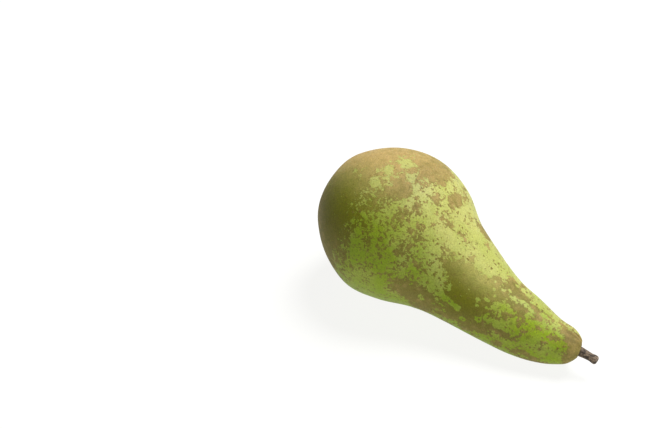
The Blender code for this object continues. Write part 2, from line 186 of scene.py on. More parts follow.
# lengths are mm and directions are degrees round the axis, 0 on top; a distance runs from the blossom end
skin = {
    "profile": [  # distance, radius
        (2.8, 0.0), (1.7, 3.2), (0.5, 6.2), (0.0, 9.8), (2.4, 16.3), (7.6, 21.8), (17.0, 27.8),
        (30.0, 31.3), (43.5, 28.8), (56.7, 21.6), (70.0, 17.2), (83.0, 14.1), (92.5, 12.7),
        (100.0, 11.2), (106.3, 9.4), (110.5, 7.8), (114.0, 6.3), (116.0, 4.8), (116.5, 3.7),
        (116.0, 2.5), (115.4, 0.0)],
    "axis": [  # distance, Y, Z
        (0.0, 1.9, 34.8), (28.0, 0.1, 31.1), (57.0, -1.0, 23.1), (85.0, -0.9, 13.3),
        (104.0, 0.9, 9.7), (117.0, 2.8, 9.2)],
    "originFromEnd": 30.0,
    "swellings": [  # distance, direction, height, reach along, reach round
        (112.0, -62.0, 0.8, 3.6, 34.0), (113.0, 52.0, 0.4, 5.0, 50.0),
        (116.0, -20.0, -1.0, 3.5, 11.0), (103.0, -45.0, -0.6, 7.0, 35.0),
        (68.0, 48.0, -0.7, 9.0, 24.0), (62.0, -95.0, -0.6, 16.0, 40.0),
        (45.0, 135.0, -1.0, 11.0, 32.0), (32.0, 180.0, 0.3, 15.0, 40.0),
        (20.0, -60.0, 0.4, 14.0, 40.0), (3.0, 72.0, -0.9, 8.0, 26.0), (9.0, 34.0, 0.5, 8.0, 26.0),
        (117.0, 118.0, -1.3, 2.6, 36.0)],
    "ribs": 5, "ribHeight": 0.35, "ribReach": 14.0, "oval": 0.2,
    "poleEase": 3.0,  # the radius within which swellings die away
    "slant": 0.35,  # mm per mm of radius
    "slantTowards": 45.0, "slantFrom": (108.0, 116.0),  # direction, distances
    "hollowRun": 4.2,  # over the skin, from the middle of the stem's hollow to its rim
    "inset": 0.04,  # under the solid's corners
    "restSoftness": 0.15,  # over which the skin rounds off into the flats it rests on
    "rings": 300, "steps": 320,
    "blossomCrowding": (1.6, 9.0), "stemCrowding": (3.0, 12.0),  # how much closer the rings lie, how far in

    # cover with cork: 0 on clear skin, 1 on solid russet
    "clearCover": 0.13, "coverLimits": (-0.4, 1.3),
    "blossomCover": 0.95, "blossomLimit": 25.0, "blossomFade": 3.0,  # solid russet at the blossom end
    "blossomWaves": [(1.5, 1, 0.7), (1.2, 3, 1.2)],  # in its limit: height, count, phase in radians
    "capCover": 1.1, "capDepth": 3.9, "capFade": 1.1,  # solid russet round the stem
    "capWaves": [(0.5, 3, 0.6)],
    "capTongues": [(0.0, 3.0, 2.6, everywhere, 26.0), (0.0, -52.0, -5.0, everywhere, 26.0)],  # as swellings
    "patchEdge": 7.0,  # how steeply a patch ends
    "patches": [  # distance, direction, half length, half spread, strength (below 0 lets green through)
        # bulb: a tongue over the top, and the speckled shoulder
        (33.0, -25.0, 6.5, 16.0, 0.95), (33.0, 8.0, 6.0, 16.0, 0.3), (35.3, -2.0, 2.4, 9.0, 0.3),
        (34.0, 36.0, 9.0, 16.0, 0.2), (33.0, 19.0, 3.2, 6.0, 0.5), (27.0, 60.0, 9.0, 26.0, 0.16),
        (47.0, 5.0, 12.0, 34.0, 0.06), (42.5, 3.5, 3.2, 4.5, 0.5), (40.3, 21.0, 1.5, 3.0, 0.5),
        (46.8, -14.0, 2.6, 10.5, 0.85), (48.0, -32.0, 2.0, 5.5, 0.6), (43.5, -39.0, 1.6, 5.0, 0.5),
        (39.2, -15.0, 1.6, 7.0, 0.5), (47.3, 11.5, 2.0, 2.0, 0.45), (56.6, 4.0, 2.4, 3.0, 0.5),
        (53.0, 8.0, 3.4, 2.4, 0.4), (60.0, -36.0, 3.4, 8.5, 1.0), (64.3, -20.0, 1.9, 4.0, 0.55),
        (57.0, 27.5, 1.3, 2.0, 0.45), (54.3, 60.0, 2.2, 3.5, 0.45), (51.0, 46.0, 9.0, 22.0, 0.1),
        (44.0, 70.0, 9.0, 20.0, 0.16), (42.0, 45.0, 11.0, 20.0, 0.14),
        # islands of bare skin on it
        (26.8, -4.0, 2.2, 6.0, -0.72), (24.5, 9.5, 1.7, 3.6, -0.72), (24.0, 24.5, 2.2, 4.0, -0.68),
        (35.5, 8.0, 0.9, 3.0, -0.5), (31.5, 4.0, 1.6, 4.0, -0.35), (14.0, 24.0, 0.9, 3.0, -0.6),
        (17.5, 25.0, 1.2, 2.5, -0.5), (22.3, 15.5, 0.8, 2.0, -0.6), (36.0, -2.0, 1.6, 4.0, -0.35),
        (40.5, -42.0, 2.6, 7.0, -0.12), (53.5, -42.0, 3.4, 9.0, -0.14),
        # neck: one large patch, and the tan one above it
        (66.8, 37.0, 6.9, 15.5, 1.1), (64.2, 13.0, 1.0, 7.0, 0.5), (74.0, 48.0, 6.8, 22.0, 1.1),
        (76.0, 26.0, 5.6, 12.0, 0.9), (71.0, 65.0, 5.4, 7.0, 0.9), (79.5, 9.0, 5.4, 8.0, 0.62),
        (84.3, -3.0, 6.4, 9.0, 0.9), (81.5, -16.0, 3.6, 7.0, 0.8), (85.0, -31.0, 1.4, 9.0, 0.65),
        (94.0, 38.0, 9.0, 24.0, 0.13), (99.0, 70.0, 8.0, 16.0, 0.1), (87.5, 44.0, 2.2, 6.0, 0.35),
        (93.2, 31.0, 1.4, 3.0, 0.4), (81.5, 22.0, 1.6, 6.0, 0.3), (83.0, 52.0, 3.4, 9.0, 0.32),
        # green let through them
        (83.4, -15.0, 1.2, 5.0, -1.2), (72.0, 41.0, 1.1, 3.2, -1.3), (75.5, 49.0, 1.2, 3.4, -1.3),
        (77.8, 41.0, 1.3, 3.2, -1.2), (70.5, 60.0, 1.1, 3.6, -1.2), (73.5, 64.0, 1.1, 3.4, -1.3),
        (68.4, 33.0, 0.7, 2.6, -1.0), (76.5, 57.0, 0.8, 3.0, -1.1), (79.2, 30.0, 0.9, 3.0, -1.0),
        (72.5, 12.0, 0.9, 3.0, -0.9), (74.2, 30.0, 0.6, 2.0, -1.3), (77.6, 21.5, 0.7, 2.4, -1.3),
        (80.3, 13.0, 0.7, 2.2, -1.3), (70.0, 46.0, 0.5, 2.0, -1.3), (66.8, 45.0, 0.5, 1.8, -1.2),
        (79.5, 51.0, 0.7, 2.4, -1.2), (82.6, 5.0, 0.8, 2.6, -1.2), (76.0, 12.0, 0.5, 2.0, -1.2),
        (68.5, 75.0, 2.6, 3.0, -0.5),
        # lower side: a dark band, green let through it, patches towards the stem
        (56.0, 88.0, 7.4, 13.0, 0.9), (60.0, 108.0, 4.5, 12.0, 0.75), (77.0, 86.0, 7.8, 15.5, 1.0),
        (59.0, 91.0, 1.2, 5.0, -0.6), (75.0, 88.0, 1.2, 4.0, -1.2), (79.5, 74.0, 1.2, 4.0, -1.2),
        (71.5, 76.0, 1.2, 5.0, -1.2), (67.0, 94.0, 5.0, 15.0, 0.3), (90.0, 75.0, 5.4, 6.0, 0.75),
        (84.5, 55.0, 1.8, 5.0, 0.3), (98.5, 96.0, 3.0, 6.5, 0.7), (102.0, 105.0, 2.4, 7.0, 0.6),
        (89.0, 101.0, 1.6, 9.0, 0.45), (94.8, 104.0, 1.8, 7.0, 0.4), (84.0, 122.0, 28.0, 22.0, 0.24),
        # towards the stem: blotches on top
        (95.2, 2.0, 3.0, 6.0, 0.8), (98.0, 13.0, 2.0, 5.0, 0.6), (89.6, 20.0, 4.6, 9.0, 0.72),
        (91.0, 0.0, 2.0, 8.0, 0.15), (98.4, -4.0, 0.9, 4.0, 0.5), (101.4, -4.0, 2.2, 3.0, 0.45),
        (101.4, 34.0, 1.4, 4.0, 0.4), (94.5, 36.0, 1.2, 3.0, 0.35), (109.0, 33.0, 1.3, 4.5, 0.45),
        (108.0, -13.0, 2.6, 5.0, 0.85), (107.0, -36.0, 2.6, 8.0, 0.4), (110.4, 2.0, 1.4, 11.0, 0.6),
        (106.5, 38.0, 3.0, 6.0, 0.38), (106.5, 0.0, 4.5, 24.0, 0.17)],
    "hiddenPatches": 70, "hiddenSeed": 11,  # for the back and underneath, each value drawn between two limits
    "hiddenAlong": (34, 108), "hiddenRound": (140, 310), "hiddenHalfLength": (1.0, 6.0),
    "hiddenStretch": (0.7, 1.6), "hiddenStrength": (0.3, 0.8),
    "hiddenRadius": ([34, 60, 108], [31, 20, 10]),  # distances, rough radius there

    # how tan, see-through or olive the cork is, how sunny the skin, how dark the marks, with painted light
    # and shade among them; spots as swellings
    "tanBase": 0.02,
    "tanCrown": 0.65, "crownLimit": 33.0, "crownFade": 4.0,  # the tan crown of the blossom end
    "crownTowards": -10.0, "crownHalfSpread": 38.0, "crownSideFade": 8.0,
    "tanTip": 0.2, "tipFrom": 110.0, "tipFade": 1.5,
    "tanAndLightSpots": [
        # the first spot makes the top side's cork tan, partly painted light; the ring at 3 mm on the next
        # line lightens the blossom end as painted light
        (0.0, -12.0, 0.29, everywhere, 38.0), (22.0, -24.0, -0.22, 9.0, 16.0), (86.0, 5.0, -0.3, 9.0, 25.0),
        # the spot at 70 mm, 18 degrees is a painted highlight along the neck's ridge
        (3.0, 0.0, 0.35, 7.0, everywhere), (70.0, 18.0, 0.3, 11.0, 15.0)],
    # the thinner cork at 69 mm, 23 degrees also lightens the neck's ridge as a painted highlight
    "thinAndLightSpots": [(15.0, 30.0, 0.5, 18.0, 22.0), (69.0, 23.0, 1.2, 12.0, 18.0)],
    # olive on the neck patch's lower side at 70 mm is partly the cork's colour and partly painted shade; at
    # 22 mm it is painted shade on the bulb's flank
    "oliveAndShadeSpots": [(70.0, 60.0, 1.0, 13.0, 25.0), (22.0, 55.0, 1.0, 22.0, 25.0)],
    # the green is yellower and lighter towards the lamp's side: partly the sun side's own colour, partly
    # painted light and shade
    "sunnyAndLitMean": 0.48, "sunnyAndLitSwing": 0.52, "sunnyAndLitTowards": -32.0,
    "neckShade": 0.25, "neckFrom": 62.0, "neckFade": 8.0,
    "endShade": 0.2, "endFrom": 88.0, "endFade": 5.0,
    # on the stem end the green is painted darker round 38 degrees and lighter round 82 degrees: painted shade
    # and painted light
    "endPaintedShading": [(0.0, 38.0, 0.3, everywhere, 18.0), (0.0, 82.0, -0.4, everywhere, 20.0)],
    "sunnyAndLitSpots": [
        # the spot at 60 mm, 17 degrees lightens the neck's ridge as a painted highlight
        (60.0, 17.0, 0.25, 13.0, 15.0), (25.0, 8.0, 0.4, 6.0, 18.0), (110.0, -45.0, 0.6, 7.0, 30.0),
        # the dip at 36 mm, 58 degrees is painted shade on the bulb's flank
        (36.0, 58.0, -0.5, 18.0, 26.0), (107.0, 35.0, -0.25, 4.0, 22.0)],
    "crack": 0.7, "crackAt": 114.6, "crackReach": 2.6, "crackWidth": 3.0,  # it runs into the hollow
    "crackTowards": -22.0, "crackLean": -2.5, "crackLeanFrom": 112.5,
    "stemFootShade": 0.8, "stemFootShadeRadius": 1.0, "stemFootShadeFade": 0.4,  # painted shade round the stem's foot
    "creaseShadeFrom": 110.5, "creaseShadeFade": 0.4, "creaseShadeTowards": 10.0, "creaseShadeSpread": 36.0,  # painted shade in the crease on the upper side of the hollow's rim
    "creaseShadeMean": 0.55, "creaseShadeWaves": [(0.1, 17, 0.0), (0.1, 11, np.radians(40))],
    "darkSpots": [(33.5, 0.0, 0.26, 5.5, 32.0)],
    "scar": 0.45, "scarFade": 0.12,
    "scars": [  # corky spots: distance, direction, radius
        (90.5, 52.0, 0.75), (97.0, 46.0, 0.6), (98.5, 60.0, 0.8), (103.0, 62.0, 0.65), (105.0, 72.0, 0.6),
        (110.0, 68.0, 0.7), (87.5, 52.0, 0.6), (40.3, 20.5, 1.0), (63.5, -16.0, 0.5), (61.5, -7.0, 0.6),
        (70.3, -28.0, 0.5), (98.0, -5.0, 0.8)],

    "bareSkin": "#A1A15B",  # yellow-green on the sun's side, and on the lamp's side as painted light
    # darker green away from the sun, and away from the lamp as painted shade
    "shadedSkin": "#778A1C",
    "veil": "#827D36",  # green seen through a film of cork
    # the tan cork doubles as the lit copy of the cork over brown, and the olive as a shaded copy: painted
    # light and shade
    "tanCorkAndLight": "#A58B58", "brownCork": "#6C632E", "oliveCorkAndShade": "#5F5E09",
    "poreCork": "#675527", "darkCorkAndShade": "#53471F",  # the dots; cracks, scars, and the painted shade round the stem's foot and in the crease at the hollow's rim
    "patchGrain": 5.0, "fleckGrain": 1.3, "hueGrain": 100 / 11, "shadeGrain": 100 / 33, "corkGrain": 0.5,
    "patchWeight": 2.4, "fleckWeight": 2.3,  # how far each noise moves an edge, in cover
    "hueSwing": 1.2, "shadeSwing": 1.6,  # how far noise moves the green and the cork's tan
    "grainLeast": 0.55, "grainSwing": 0.9,  # a fine grain in the lightness of it all
    "corkEdge": (0.48, 0.53), "filmEdge": (0.24, 0.32),  # cover over which each sets in
    "filmWeight": 0.2, "corkWeight": 0.93, "thinning": 0.45,
    "poreSpacing": 1.5,
    "poreLeast": -0.04, "poreSpread": 0.42, "poreEdge": (-0.05, 0.07),  # in spacings
    "poreBendGrain": 10 / 11, "poreBend": 1.6, "poreWeight": 0.85, "poreOnCork": 0.35,
    "corkHeight": 0.03, "grainHeight": 0.05, "poreHeight": 0.03, "undulation": 0.14,  # relief
    "skinRoughness": 0.5, "corkRoughness": 0.65,
}


# centre, forward, up and side of the bent axis at a distance from the blossom end
def fruitAxisAt(distance):
    hop = 0.1  # mm either way, for the direction

    def centreAt(at):
        return np.concatenate([(at - skin["originFromEnd"])[..., None], smoothCurve(skin["axis"], at)], -1)
    forward = unit(centreAt(distance + hop) - centreAt(distance - hop))
    up = unit(np.array([0.0, 0.0, 1.0]) - forward * forward[..., 2:])
    return centreAt(distance), forward, up, np.cross(forward, up)


# ribs that fade from the blossom end, a slight oval, and the swellings
def swellingHeight(distance, angle):
    ribs = skin["ribHeight"] * np.cos(np.radians(skin["ribs"] * angle)) * bump(distance, skin["ribReach"])
    return ribs - skin["oval"] * np.cos(np.radians(2 * angle)) + bells(distance, angle, skin["swellings"])


# cover = clear skin's + both ends inside wavy limits + each patch inside its ellipse; 0.5 is half russet
def russetCover(distance, angle, fromRim):
    turn = np.radians(angle)
    limit = skin["blossomLimit"] + waves(turn, skin["blossomWaves"])
    cover = skin["clearCover"] + skin["blossomCover"] * rise((limit - distance) / skin["blossomFade"])
    depth = skin["capDepth"] + waves(turn, skin["capWaves"]) + bells(distance, angle, skin["capTongues"])
    cover = cover + skin["capCover"] * rise((depth - fromRim) / skin["capFade"])
    draw = np.random.default_rng(skin["hiddenSeed"])
    count = skin["hiddenPatches"]
    at = draw.uniform(*skin["hiddenAlong"], count)
    halfLength = draw.uniform(*skin["hiddenHalfLength"], count)
    halfWidth = halfLength * draw.uniform(*skin["hiddenStretch"], count)
    halfSpread = np.degrees(halfWidth / np.interp(at, *skin["hiddenRadius"]))
    towards = draw.uniform(*skin["hiddenRound"], count)
    strength = draw.uniform(*skin["hiddenStrength"], count)
    hidden = np.column_stack([at, towards, halfLength, halfSpread, strength])
    for at, towards, halfLength, halfSpread, strength in np.vstack([skin["patches"], hidden]):
        offset = np.hypot((distance - at) / halfLength, turnFrom(angle, towards) / halfSpread)
        cover = cover + strength * rise((1 - offset) * skin["patchEdge"])
    return np.clip(cover, *skin["coverLimits"])


# a crown over the blossom end, the tip, and the tan spots; tan on the top side is partly painted light, as
# the lit copy of the cork
def tanAndLightShare(distance, angle):
    aside = np.abs(turnFrom(angle, skin["crownTowards"]))
    crown = (rise((skin["crownLimit"] - distance) / skin["crownFade"])
             * rise((skin["crownHalfSpread"] - aside) / skin["crownSideFade"]))
    tip = rise((distance - skin["tipFrom"]) / skin["tipFade"])
    return (skin["tanBase"] + skin["tanCrown"] * crown + skin["tanTip"] * tip
            + bells(distance, angle, skin["tanAndLightSpots"]))


# a cosine round the axis that peaks on the lamp's side, partly painted light and shade, less on the neck and
# towards the stem, and the sunny spots, some of them painted light and shade
def sunnyAndLitShare(distance, angle):
    aspect = np.cos(np.radians(angle - skin["sunnyAndLitTowards"]))
    neck = rise((distance - skin["neckFrom"]) / skin["neckFade"])
    end = rise((distance - skin["endFrom"]) / skin["endFade"])
    return (skin["sunnyAndLitMean"] + skin["sunnyAndLitSwing"] * aspect - skin["neckShade"] * neck
            - end * (skin["endShade"] + bells(distance, angle, skin["endPaintedShading"]))
            + bells(distance, angle, skin["sunnyAndLitSpots"]))


# a leaning crack, painted shade round the stem's foot and in the crease along the upper side of the hollow's
# rim, dark spots, and round scars
def darkMarksAndShade(distance, angle, radius, fromPole):
    crackTowards = skin["crackTowards"] + skin["crackLean"] * (distance - skin["crackLeanFrom"])
    crack = (bump(turnFrom(angle, crackTowards), skin["crackWidth"])
             * bump(distance - skin["crackAt"], skin["crackReach"]))
    stemFootShade = rise((skin["stemFootShadeRadius"] - fromPole) / skin["stemFootShadeFade"])
    creaseShade = (rise((distance - skin["creaseShadeFrom"]) / skin["creaseShadeFade"])
           * bump(turnFrom(angle, skin["creaseShadeTowards"]), skin["creaseShadeSpread"])
           * (skin["creaseShadeMean"] + waves(np.radians(angle), skin["creaseShadeWaves"])))
    marksAndShade = skin["crack"] * crack + skin["stemFootShade"] * stemFootShade + creaseShade + bells(distance, angle, skin["darkSpots"])
    for at, towards, scarRadius in skin["scars"]:
        gap = np.hypot(distance - at, np.radians(turnFrom(angle, towards)) * radius)
        marksAndShade = np.maximum(marksAndShade, skin["scar"] * rise((scarRadius - gap) / skin["scarFade"]))
    return marksAndShade


# Pear skin: a waxy green cuticle with natural cork over it. Cork lies in ragged patches with crisp edges,
# in flecks between them and as a dot on each pore; it is duller, slightly raised and tan, brown or olive.
# Light and shade are painted into its colours too: lighter towards the lamp, a painted highlight along the
# neck's ridge, painted light at the blossom end, painted shading on the stem end, painted shade on the bulb's
# flank, round the stem's foot and in the crease at the hollow's rim.
def pearSkinMaterial():
    material, tree = startMaterial("waxyPearSkinWithCork")
    place = addNode(tree, "ShaderNodeTexCoord", {}, "Object")
    cover, tanAndLight, thinAndLight, oliveAndShade, sunnyAndLit, marksAndShade = [
        addNode(tree, "ShaderNodeAttribute", {}, "Fac", attribute_name=name)
        for name in ("russetCover", "tanCorkAndLight", "thinCorkAndLight", "oliveCorkAndShade", "sunnyAndLit", "darkMarksAndShade")]

    # ragged edges: two grains of noise round a half are added to the cover, and the sum is cut at a half
    patchNoise = addNode(tree, "ShaderNodeTexNoise", {
        "Vector": place, "Scale": 1000 / skin["patchGrain"],
        "Detail": 3.2, "Roughness": 0.74, "Distortion": 0.35})
    fleckNoise = addNode(tree, "ShaderNodeTexNoise", {
        "Vector": place, "Scale": 1000 / skin["fleckGrain"],
        "Detail": 2.6, "Roughness": 0.66, "Distortion": 0.5})
    field = addNode(tree, "ShaderNodeMath", {
        0: patchNoise, 1: skin["patchWeight"], 2: -skin["patchWeight"] / 2}, operation="MULTIPLY_ADD")
    field = addNode(tree, "ShaderNodeMath", {
        0: fleckNoise, 1: skin["fleckWeight"], 2: field}, operation="MULTIPLY_ADD")
    field = addNode(tree, "ShaderNodeMath", {0: field, 1: cover})
    field = addNode(tree, "ShaderNodeMath", {0: field, 1: skin["fleckWeight"] / 2}, operation="SUBTRACT")
    cork, film = [
        addNode(tree, "ShaderNodeMapRange", {"Value": field, "From Min": edge[0], "From Max": edge[1]},
                interpolation_type="SMOOTHSTEP")
        for edge in (skin["corkEdge"], skin["filmEdge"])]

    # a round dot on each pore, of uneven size, its edge bent by noise
    bend = addNode(tree, "ShaderNodeTexNoise", {
        "Vector": place, "Scale": 1000 / skin["poreBendGrain"], "Detail": 2.0}, "Color")
    bent = addNode(tree, "ShaderNodeVectorMath", {
        0: bend, 1: (skin["poreBend"] * mm,) * 3, 2: place}, operation="MULTIPLY_ADD")
    dots = addNode(tree, "ShaderNodeTexVoronoi", {
        "Vector": bent, "Scale": 1000 / skin["poreSpacing"]}, None)
    chance = addNode(tree, "ShaderNodeSeparateColor", {0: dots.outputs["Color"]})
    poreSize = addNode(tree, "ShaderNodeMath", {
        0: chance, 1: skin["poreSpread"], 2: skin["poreLeast"]}, operation="MULTIPLY_ADD")
    pores = addNode(tree, "ShaderNodeMath", {0: poreSize, 1: dots.outputs["Distance"]}, operation="SUBTRACT")
    pores = addNode(tree, "ShaderNodeMapRange", {
        "Value": pores, "From Min": skin["poreEdge"][0], "From Max": skin["poreEdge"][1]})

    # colours: green by how sunny the side is, partly painted light, then the film, cork, pores and dark marks
    # over it, with painted light and shade in the cork's tan, thin and olive shares and in the dark marks
    hueNoise = addNode(tree, "ShaderNodeTexNoise", {
        "Vector": place, "Scale": 1000 / skin["hueGrain"], "Detail": 3.0})
    hue = addNode(tree, "ShaderNodeMath", {
        0: hueNoise, 1: skin["hueSwing"], 2: -skin["hueSwing"] / 2}, operation="MULTIPLY_ADD")
    hue = addNode(tree, "ShaderNodeMath", {0: hue, 1: sunnyAndLit}, use_clamp=True)
    colour = addNode(tree, "ShaderNodeMix", {
        0: hue, 6: toLinear(skin["shadedSkin"]), 7: toLinear(skin["bareSkin"])}, 2, data_type="RGBA")
    filmWeight = addNode(tree, "ShaderNodeMath", {0: film, 1: skin["filmWeight"]}, operation="MULTIPLY")
    colour = addNode(tree, "ShaderNodeMix", {
        0: filmWeight, 6: colour, 7: toLinear(skin["veil"])}, 2, data_type="RGBA")
    shadeNoise = addNode(tree, "ShaderNodeTexNoise", {
        "Vector": place, "Scale": 1000 / skin["shadeGrain"], "Detail": 5.0, "Roughness": 0.6})
    shade = addNode(tree, "ShaderNodeMath", {
        0: shadeNoise, 1: skin["shadeSwing"], 2: -skin["shadeSwing"] / 2}, operation="MULTIPLY_ADD")
    shade = addNode(tree, "ShaderNodeMath", {0: shade, 1: tanAndLight}, use_clamp=True)
    corkColour = addNode(tree, "ShaderNodeMix", {
        0: shade, 6: toLinear(skin["brownCork"]), 7: toLinear(skin["tanCorkAndLight"])}, 2, data_type="RGBA")
    corkColour = addNode(tree, "ShaderNodeMix", {
        0: oliveAndShade, 6: corkColour, 7: toLinear(skin["oliveCorkAndShade"])}, 2, data_type="RGBA")
    corkWeight = addNode(tree, "ShaderNodeMath", {
        0: thinAndLight, 1: -skin["thinning"], 2: skin["corkWeight"]}, operation="MULTIPLY_ADD")
    corkWeight = addNode(tree, "ShaderNodeMath", {0: cork, 1: corkWeight}, operation="MULTIPLY")
    colour = addNode(tree, "ShaderNodeMix", {0: corkWeight, 6: colour, 7: corkColour}, 2, data_type="RGBA")
    poreWeight = addNode(tree, "ShaderNodeMath", {
        0: cork, 1: skin["poreOnCork"] - skin["poreWeight"], 2: skin["poreWeight"]}, operation="MULTIPLY_ADD")
    poreWeight = addNode(tree, "ShaderNodeMath", {0: pores, 1: poreWeight}, operation="MULTIPLY")
    colour = addNode(tree, "ShaderNodeMix", {
        0: poreWeight, 6: colour, 7: toLinear(skin["poreCork"])}, 2, data_type="RGBA")
    colour = addNode(tree, "ShaderNodeMix", {
        0: marksAndShade, 6: colour, 7: toLinear(skin["darkCorkAndShade"])}, 2, data_type="RGBA")
    grain = addNode(tree, "ShaderNodeTexNoise", {
        "Vector": place, "Scale": 1000 / skin["corkGrain"], "Detail": 2.0})
    light = addNode(tree, "ShaderNodeMath", {
        0: grain, 1: skin["grainSwing"], 2: skin["grainLeast"]}, operation="MULTIPLY_ADD")
    colour = addNode(tree, "ShaderNodeVectorMath", {0: colour, "Scale": light}, operation="SCALE")
    rough = addNode(tree, "ShaderNodeMapRange", {
        "Value": cork, "To Min": skin["skinRoughness"], "To Max": skin["corkRoughness"]})

    # relief in mm: cork stands proud and is grainy, pores are tiny warts, the cuticle undulates
    height = addNode(tree, "ShaderNodeMath", {0: grain, 1: cork}, operation="MULTIPLY")
    height = addNode(tree, "ShaderNodeMath", {0: height, 1: skin["grainHeight"]}, operation="MULTIPLY")
    for layer, setting in ((cork, "corkHeight"), (pores, "poreHeight"), (shadeNoise, "undulation")):
        height = addNode(tree, "ShaderNodeMath", {
            0: layer, 1: skin[setting], 2: height}, operation="MULTIPLY_ADD")
    relief = addNode(tree, "ShaderNodeBump", {"Distance": mm, "Height": height})

    shader = addNode(tree, "ShaderNodeBsdfPrincipled", {
        "Base Color": colour, "Roughness": rough, "Normal": relief, "IOR": 1.45, "Specular IOR Level": 0.15,
        "Subsurface Weight": 0.1, "Subsurface Radius": (1.0, 0.7, 0.25), "Subsurface Scale": 0.002})
    addNode(tree, "ShaderNodeOutputMaterial", {"Surface": shader}, None)
    return material


# the turned profile laid along the bent axis: axis point + (radius + swelling) * (cos * up + sin * side),
# and at the stem end + slant * radius * cosine of the angle to its long side * smoothstep of the distance,
# along the axis
def makeSkin():
    def crowding(run, total):
        nearer, reach = skin["blossomCrowding"]
        nearerStem, reachStem = skin["stemCrowding"]
        return 1 + nearer * bump(run, reach) + nearerStem * bump(total - run, reachStem)
    profile = resampled(skin["profile"], skin["rings"], crowding)
    distance, radius, run = [np.repeat(values[:, None], skin["steps"], axis=1) for values in profile]
    angle = np.repeat(np.arange(skin["steps"])[None] * 360 / skin["steps"], skin["rings"], axis=0)
    centre, forward, up, side = fruitAxisAt(distance)
    radius = np.maximum(radius, 0)
    radius = radius + (swellingHeight(distance, angle) - skin["inset"]) * np.tanh(radius / skin["poleEase"])
    turn = np.radians(angle)[..., None]
    share = np.clip((distance - skin["slantFrom"][0]) / np.ptp(skin["slantFrom"]), 0, 1)
    slant = (skin["slant"] * radius * np.cos(np.radians(angle - skin["slantTowards"]))
             * share ** 2 * (3 - 2 * share))
    points = (centre + radius[..., None] * (np.cos(turn) * up + np.sin(turn) * side)
              + slant[..., None] * forward)
    # resting flats: z becomes half of z and the root of z squared plus softness squared
    points[..., 2] = (points[..., 2] + np.sqrt(points[..., 2] ** 2 + skin["restSoftness"] ** 2)) / 2
    piece = makePiece("pearSkin", [points], pearSkinMaterial(), "fruit")

    # the marks keep their places on the slanted end
    distance = distance + slant
    fromPole = run[-1] - run
    addMeasure(piece, "russetCover", russetCover(distance, angle, fromPole - skin["hollowRun"] - slant))
    addMeasure(piece, "tanCorkAndLight", tanAndLightShare(distance, angle))
    addMeasure(piece, "thinCorkAndLight", bells(distance, angle, skin["thinAndLightSpots"]))
    addMeasure(piece, "oliveCorkAndShade", bells(distance, angle, skin["oliveAndShadeSpots"]))
    addMeasure(piece, "sunnyAndLit", sunnyAndLitShare(distance, angle))
    addMeasure(piece, "darkMarksAndShade", darkMarksAndShade(distance, angle, radius, fromPole))


stem = {
    "path": [  # mm: along the stem, X, Y, Z
        (0.0, 81.2, 2.1, 9.5), (5.5, 86.7, 2.5, 9.65), (10.0, 91.2, 2.5, 9.5), (14.0, 95.1, 2.6, 8.95)],
    "profile": [  # mm: along the stem, radius
        (0.0, 0.0), (0.1, 1.1), (1.2, 1.6), (4.5, 1.96), (7.2, 1.82), (10.4, 1.54), (12.4, 1.64),
        (13.3, 1.58), (13.75, 1.2), (13.7, 0.7), (13.85, 0.0)],
    "knobs": [  # mm, degrees, mm: along the stem, direction, height
        (6.2, 20, 0.14), (9.0, 200, 0.18), (12.3, 310, 0.2), (12.7, 110, 0.14), (10.6, 60, 0.12)],
    "knobReach": 1.0, "knobSpread": 40.0,  # mm, degrees
    "ridgeHeight": 0.07, "ridges": 11,  # mm, count
    "ridgeTwist": 5.0, "ridgeSway": 1.3,  # degrees per mm, radians per mm
    "lobeShare": 0.6, "lobes": 5, "lobeTwist": -9.0,  # of the ridges' height, count, degrees per mm
    "poleEase": 0.8, "cutFrom": 13.45, "cutFade": 0.08,  # mm
    "rings": 150, "steps": 84,
    "bark": "#5B4C3C", "darkBark": "#241C15", "lightBark": "#82725E", "cutWood": "#857463",
    "fibreWidth": 0.35, "fibreStretch": 0.22, "blotchSize": 1.6,  # mm, width over length, mm
    "fibreEdge": (0.45, 0.7), "blotchEdge": (0.49, 0.57),  # of the noises
    "blotchWeight": 0.85, "fibreHeight": 0.12, "blotchHeight": 0.2,  # the last two in mm
}


